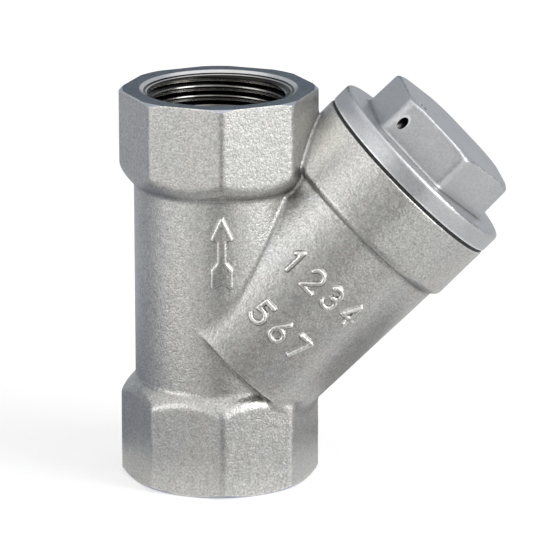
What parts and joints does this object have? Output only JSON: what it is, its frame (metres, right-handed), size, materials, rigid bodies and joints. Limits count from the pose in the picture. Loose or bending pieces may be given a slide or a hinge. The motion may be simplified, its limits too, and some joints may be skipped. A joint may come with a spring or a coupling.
{
  "type": "gas filter",
  "caption": "Angle-pattern cast gas filter: threaded straight run with octagonal hubs, slanted branch with a mesh screen inside, gasket and screwed cap with hexagonal head.",
  "frame": {"origin": "centre of the inlet's end face, on the axis of the straight run", "axes": "+Z along the run in the direction of flow, from the inlet to the outlet; the branch with its cap leans over towards +X, 45 degrees from +Z; +Y completes the right-handed frame and XZ is the plane of symmetry"},
  "size_m": [0.0704, 0.0386, 0.0738],
  "materials": {
    "body_casting": "bead-blasted stainless casting, fine satin grain",
    "cap_casting": "smooth satin stainless casting",
    "gasket": "matt black sheet gasket",
    "screen_sheet": "rolled stainless sheet",
    "screen_wire": "fine woven stainless wire"
  },
  "bodies": {
    "housing": {"body": "body_casting"},
    "screen": {"screen_sleeve": "screen_sheet", "screen_liner": "screen_wire"},
    "seal": {"gasket": "gasket"},
    "cover": {"cap": "cap_casting"}
  },
  "joints": [
    {"name": "screen_draw", "type": "slide", "parent": "housing", "child": "screen", "axis": [0.7071, 0, 0.7071], "range_m": [0, 0.046]},
    {"name": "seal_lift", "type": "slide", "parent": "screen", "child": "seal", "axis": [0.7071, 0, 0.7071], "range_m": [0, 0.009]},
    {"name": "cap_turn", "type": "hinge", "parent": "seal", "child": "cover", "pos_m": [0.03536, 0, 0.05686], "axis": [0.7071, 0, 0.7071], "range_deg": [0, 2160]}
  ],
  "couplings": [
    {"joint": "seal_lift", "follows": "cap_turn", "m_per_rad": 0.00023873}
  ]
}
